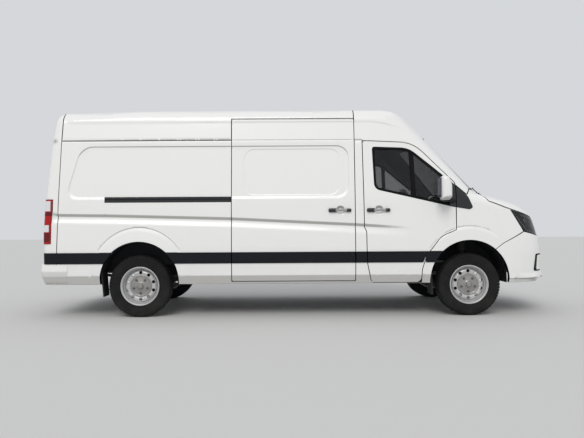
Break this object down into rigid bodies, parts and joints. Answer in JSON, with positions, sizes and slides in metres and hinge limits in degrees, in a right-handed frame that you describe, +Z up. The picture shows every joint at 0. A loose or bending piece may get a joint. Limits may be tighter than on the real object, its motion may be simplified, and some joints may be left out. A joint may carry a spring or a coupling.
{
  "type": "panel van",
  "caption": "Long-wheelbase panel van with a raised roof, a sliding side door, two rear doors and steel wheels.",
  "frame": {"origin": "on the ground, at the middle of the overall length and width", "axes": "+X forwards, +Y to the left side, +Z up"},
  "size_m": [5.99, 2.4784, 2.4418],
  "materials": {
    "paint": "gloss white",
    "lamp_red": "gloss red",
    "lamp_clear": "clear",
    "glass": "clear",
    "bumper_plastic": "grained dark grey",
    "mirror_housing": "gloss white",
    "floor_steel": "primer grey",
    "seat_fabric": "woven dark grey",
    "interior_plastic": "dark grey",
    "wheel_steel": "silver",
    "tyre": "black rubber",
    "chassis_steel": "satin black",
    "cast_metal": "cast"
  },
  "bodies": {
    "root": {"bulkhead": "floor_steel", "cowl": "paint", "dashboard": "interior_plastic", "driveline": "chassis_steel", "engine": "cast_metal", "exhaust": "chassis_steel", "fender_left": "paint", "fender_right": "paint", "floor": "floor_steel", "frame_rails": "chassis_steel", "front_bumper": "bumper_plastic", "front_suspension": "chassis_steel", "fuel_tank": "chassis_steel", "grille": "bumper_plastic", "headlamps": "lamp_clear", "leaf_springs": "chassis_steel", "pillar_trims": "bumper_plastic", "rear_axle": "chassis_steel", "rear_bumper": "bumper_plastic", "rear_frame": "paint", "roof_front": "paint", "roof_rear": "paint", "seat_bases": "floor_steel", "seats": "seat_fabric", "side_left": "paint", "side_right": "paint", "side_strips": "bumper_plastic", "slide_rail": "bumper_plastic", "sliding_door": "paint", "sliding_door_trim": "bumper_plastic", "tail_lamps": "lamp_red", "wheel_liners": "bumper_plastic", "windscreen": "glass", "wipers": "bumper_plastic"},
    "front_door_right": {"front_door_right": "paint", "front_glass_right": "glass", "front_door_trim_right": "bumper_plastic", "mirror_right": "mirror_housing"},
    "front_door_left": {"front_door_left": "paint", "front_glass_left": "glass", "front_door_trim_left": "bumper_plastic", "mirror_left": "mirror_housing"},
    "rear_door_right": {"rear_door_right": "paint"},
    "rear_door_left": {"rear_door_left": "paint"},
    "bonnet": {"bonnet": "paint"},
    "steering_wheel": {"steering_wheel": "interior_plastic"},
    "knuckle_right": {"knuckle_right": "chassis_steel"},
    "knuckle_left": {"knuckle_left": "chassis_steel"},
    "wheel_front_right": {"rim_front_right": "wheel_steel", "tyre_front_right": "tyre"},
    "wheel_front_left": {"rim_front_left": "wheel_steel", "tyre_front_left": "tyre"},
    "wheel_rear_right": {"rim_rear_right": "wheel_steel", "tyre_rear_right": "tyre"},
    "wheel_rear_left": {"rim_rear_left": "wheel_steel", "tyre_rear_left": "tyre"}
  },
  "joints": [
    {"name": "steer_right", "type": "hinge", "parent": "root", "child": "knuckle_right", "pos_m": [1.915, -0.752, 0.232], "axis": [0, 0.1769, 0.9842], "range_deg": [-35, 35]},
    {"name": "steer_left", "type": "hinge", "parent": "root", "child": "knuckle_left", "pos_m": [1.915, 0.752, 0.232], "axis": [0, -0.1769, 0.9842], "range_deg": [-35, 35]},
    {"name": "steering_wheel_turn", "type": "hinge", "parent": "root", "child": "steering_wheel", "pos_m": [1.45, 0.43, 1.19], "axis": [-0.766, 0, 0.6428], "range_deg": [-525, 525]},
    {"name": "front_door_right_swing", "type": "hinge", "parent": "root", "child": "front_door_right", "pos_m": [1.763, -1.004, 1.1], "axis": [0, 0, 1], "range_deg": [0, 70]},
    {"name": "front_door_left_swing", "type": "hinge", "parent": "root", "child": "front_door_left", "pos_m": [1.763, 1.004, 1.1], "axis": [0, 0, -1], "range_deg": [0, 70]},
    {"name": "rear_door_right_swing", "type": "hinge", "parent": "root", "child": "rear_door_right", "pos_m": [-2.934, -0.893, 1.3], "axis": [0, 0, 1], "range_deg": [0, 180]},
    {"name": "rear_door_left_swing", "type": "hinge", "parent": "root", "child": "rear_door_left", "pos_m": [-2.934, 0.893, 1.3], "axis": [0, 0, -1], "range_deg": [0, 180]},
    {"name": "bonnet_lift", "type": "hinge", "parent": "root", "child": "bonnet", "pos_m": [2.118, 0, 1.402], "axis": [0, -1, 0], "range_deg": [0, 55]},
    {"name": "wheel_front_right_spin", "type": "hinge", "parent": "knuckle_right", "child": "wheel_front_right", "pos_m": [1.915, -0.85, 0.352], "axis": [0, 1, 0], "continuous": true},
    {"name": "wheel_front_left_spin", "type": "hinge", "parent": "knuckle_left", "child": "wheel_front_left", "pos_m": [1.915, 0.85, 0.352], "axis": [0, 1, 0], "continuous": true},
    {"name": "wheel_rear_right_spin", "type": "hinge", "parent": "root", "child": "wheel_rear_right", "pos_m": [-1.835, -0.85, 0.352], "axis": [0, 1, 0], "continuous": true},
    {"name": "wheel_rear_left_spin", "type": "hinge", "parent": "root", "child": "wheel_rear_left", "pos_m": [-1.835, 0.85, 0.352], "axis": [0, 1, 0], "continuous": true}
  ],
  "couplings": [
    {"joint": "steer_left", "follows": "steer_right", "ratio": 1},
    {"joint": "steering_wheel_turn", "follows": "steer_right", "ratio": 15}
  ]
}
